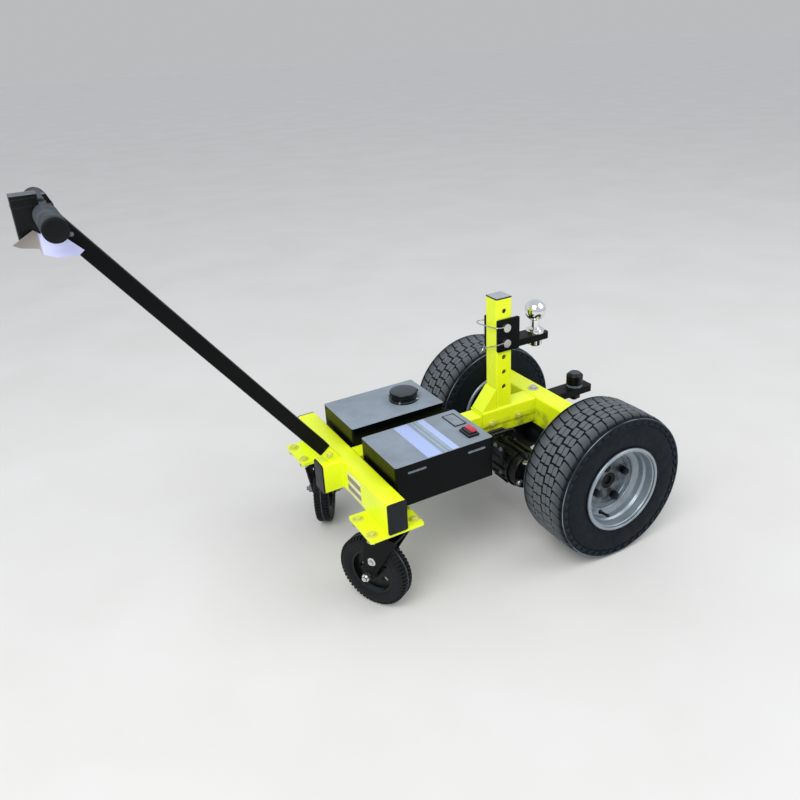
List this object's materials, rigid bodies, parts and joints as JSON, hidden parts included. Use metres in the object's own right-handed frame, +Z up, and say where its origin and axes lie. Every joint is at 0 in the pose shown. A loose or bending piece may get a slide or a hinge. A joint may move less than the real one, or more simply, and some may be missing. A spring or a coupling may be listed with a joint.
{
  "type": "electric trailer mover",
  "caption": "Walk-behind battery trailer mover: yellow tube frame on driven turf wheels and swivel casters, with battery boxes, a tow-ball post and a tiller.",
  "frame": {"origin": "on the floor, in the middle of the outer box", "axes": "+X forward, to the casters and the tiller; +Y to the mover's left; +Z up"},
  "size_m": [1.4289, 0.724, 1.071],
  "materials": {
    "yellow_paint": "gloss",
    "black_paint": "gloss",
    "black_plastic": "matt",
    "grip_rubber": "matt",
    "tyre_rubber": "matt",
    "rim_silver": "satin",
    "bright_steel": "satin",
    "chrome": "polished",
    "cast_black": "satin",
    "motor_black": "satin",
    "sheet_aluminium": "satin",
    "battery_case": "matt",
    "switch_red": "gloss"
  },
  "bodies": {
    "chassis": {"axle_bracket_left": "yellow_paint", "axle_bracket_right": "yellow_paint", "axle_tube_left": "cast_black", "axle_tube_right": "cast_black", "ball_mount": "black_paint", "battery_box_left": "black_paint", "battery_box_right": "black_paint", "battery_left": "battery_case", "battery_right": "battery_case", "caster_plate_left": "yellow_paint", "caster_plate_right": "yellow_paint", "caster_race_left": "black_paint", "caster_race_right": "black_paint", "charge_gauge": "black_plastic", "charging_inlet": "black_plastic", "control_box": "black_plastic", "control_lid": "black_plastic", "drive_motor": "motor_black", "front_cross_cap_left": "black_plastic", "front_cross_cap_right": "black_plastic", "front_cross_tube": "yellow_paint", "gear_housing": "cast_black", "grip_left": "grip_rubber", "grip_right": "grip_rubber", "handle_bar": "black_paint", "head_bracket": "black_paint", "head_guard": "sheet_aluminium", "hitch_pin_1": "bright_steel", "hitch_pin_2": "bright_steel", "post": "yellow_paint", "post_cap": "black_plastic", "post_gusset": "yellow_paint", "power_switch": "switch_red", "rear_cross_cap_left": "black_plastic", "rear_cross_cap_right": "black_plastic", "rear_cross_tube": "yellow_paint", "rear_tow_arm": "black_paint", "rear_tow_ball": "black_plastic", "spine_nose": "yellow_paint", "spine_nose_cap": "black_plastic", "spine_sleeve": "yellow_paint", "spine_tube": "yellow_paint", "tiller_stub": "yellow_paint", "tiller_tube": "black_paint", "tow_ball": "chrome"},
    "drive_wheel_left": {"rim_left": "rim_silver", "tyre_left": "tyre_rubber", "wheel_hub_left": "cast_black"},
    "caster_swivel_left": {"caster_axle_left": "bright_steel", "caster_fork_left": "black_paint"},
    "caster_wheel_left": {"caster_rim_left": "black_plastic", "caster_tyre_left": "tyre_rubber"},
    "drive_wheel_right": {"rim_right": "rim_silver", "tyre_right": "tyre_rubber", "wheel_hub_right": "cast_black"},
    "caster_swivel_right": {"caster_axle_right": "bright_steel", "caster_fork_right": "black_paint"},
    "caster_wheel_right": {"caster_rim_right": "black_plastic", "caster_tyre_right": "tyre_rubber"},
    "inlet_lid": {"inlet_lid": "black_plastic"}
  },
  "joints": [
    {"name": "drive_wheel_left_spin", "type": "hinge", "parent": "chassis", "child": "drive_wheel_left", "pos_m": [-0.5115, 0.278, 0.203], "axis": [0, 1, 0], "continuous": true},
    {"name": "drive_wheel_right_spin", "type": "hinge", "parent": "chassis", "child": "drive_wheel_right", "pos_m": [-0.5115, -0.278, 0.203], "axis": [0, 1, 0], "continuous": true},
    {"name": "caster_left_swivel", "type": "hinge", "parent": "chassis", "child": "caster_swivel_left", "pos_m": [0.0925, 0.204, 0.23], "axis": [0, 0, 1], "continuous": true},
    {"name": "caster_left_roll", "type": "hinge", "parent": "caster_swivel_left", "child": "caster_wheel_left", "pos_m": [0.11286, 0.16727, 0.097], "axis": [0.8746, 0.4848, 0], "continuous": true},
    {"name": "caster_right_swivel", "type": "hinge", "parent": "chassis", "child": "caster_swivel_right", "pos_m": [0.0925, -0.204, 0.23], "axis": [0, 0, 1], "continuous": true},
    {"name": "caster_right_roll", "type": "hinge", "parent": "caster_swivel_right", "child": "caster_wheel_right", "pos_m": [0.0715, -0.24037, 0.097], "axis": [0.866, -0.5, 0], "continuous": true},
    {"name": "inlet_lid_hinge", "type": "hinge", "parent": "chassis", "child": "inlet_lid", "pos_m": [-0.1735, -0.107, 0.3963], "axis": [0, -1, 0], "range_deg": [0, 100]}
  ]
}
